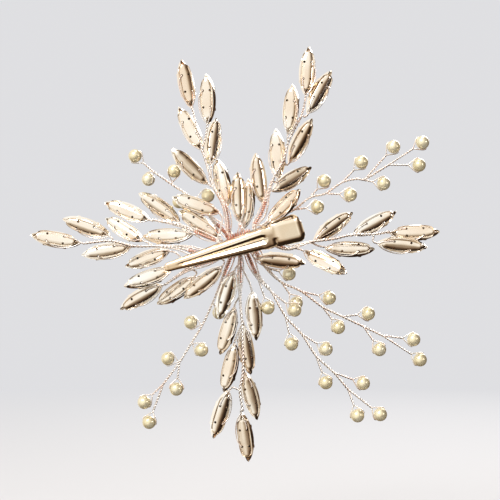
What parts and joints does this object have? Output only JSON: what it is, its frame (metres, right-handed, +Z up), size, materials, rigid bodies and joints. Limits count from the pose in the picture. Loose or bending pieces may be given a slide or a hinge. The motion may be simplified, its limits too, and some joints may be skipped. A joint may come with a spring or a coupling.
{
  "type": "hair clip",
  "caption": "Bridal hair clip: wired sprigs of navette stones in metal cups and pearls on looped wire, spread from a sprung two-jaw clip, rose-gold colour",
  "frame": {"origin": "where the closed jaws grip the hair, on the clip's centre line and in the plane in which the jaws meet", "axes": "X to the right and Z up in the plane of the ornament as seen from the clip's side; +Y out of the stones' faces, away from the head; the clip lies on the -Y side and its length is turned 17 degrees from X towards Z"},
  "size_m": [0.1214, 0.0245, 0.1234],
  "materials": {
    "clip_metal": "polished rose-gold plate on stamped sheet",
    "pin_metal": "polished rose-gold plate",
    "spring_steel": "plated spring wire",
    "copper_wire": "coppery binding wire, glossy",
    "setting_metal": "polished rose-gold plate on pressed cups",
    "stem_wire": "bright pinkish rose-gold wire, twisted",
    "crystal": "clear cut stone, foil backed",
    "pearl": "pearlescent cream coating"
  },
  "bodies": {
    "spray": {"fixed_jaw": "clip_metal", "pivot_pin": "pin_metal", "torsion_spring": "spring_steel", "stem_bundle": "copper_wire", "jaw_binding": "copper_wire", "left_low_stem": "stem_wire", "left_low_settings": "setting_metal", "left_low_stones": "crystal", "left_high_stem": "stem_wire", "left_high_settings": "setting_metal", "left_high_stones": "crystal", "lower_left_stem": "stem_wire", "lower_left_settings": "setting_metal", "lower_left_stones": "crystal", "top_left_stem": "stem_wire", "top_left_settings": "setting_metal", "top_left_stones": "crystal", "top_pair_stem": "stem_wire", "top_pair_settings": "setting_metal", "top_pair_stones": "crystal", "top_right_stem": "stem_wire", "top_right_settings": "setting_metal", "top_right_stones": "crystal", "right_stem": "stem_wire", "right_settings": "setting_metal", "right_stones": "crystal", "bottom_stem": "stem_wire", "bottom_settings": "setting_metal", "bottom_stones": "crystal", "pearls_top_right_wire": "stem_wire", "pearls_top_right": "pearl", "pearls_top_left_wire": "stem_wire", "pearls_top_left": "pearl", "pearls_right_wire": "stem_wire", "pearls_right": "pearl", "pearls_lower_right_wire": "stem_wire", "pearls_lower_right": "pearl", "pearls_lower_left_wire": "stem_wire", "pearls_lower_left": "pearl"},
    "lever": {"moving_jaw": "clip_metal"}
  },
  "joints": [
    {"name": "clip_hinge", "type": "hinge", "parent": "spray", "child": "lever", "pos_m": [0.00717, 0, 0.00219], "axis": [-0.2895, -0.1392, 0.947], "range_deg": [0, 28], "stiffness_Nm_per_rad": 0.02, "springref_deg": -57.3, "deforming": ["torsion_spring"]}
  ]
}
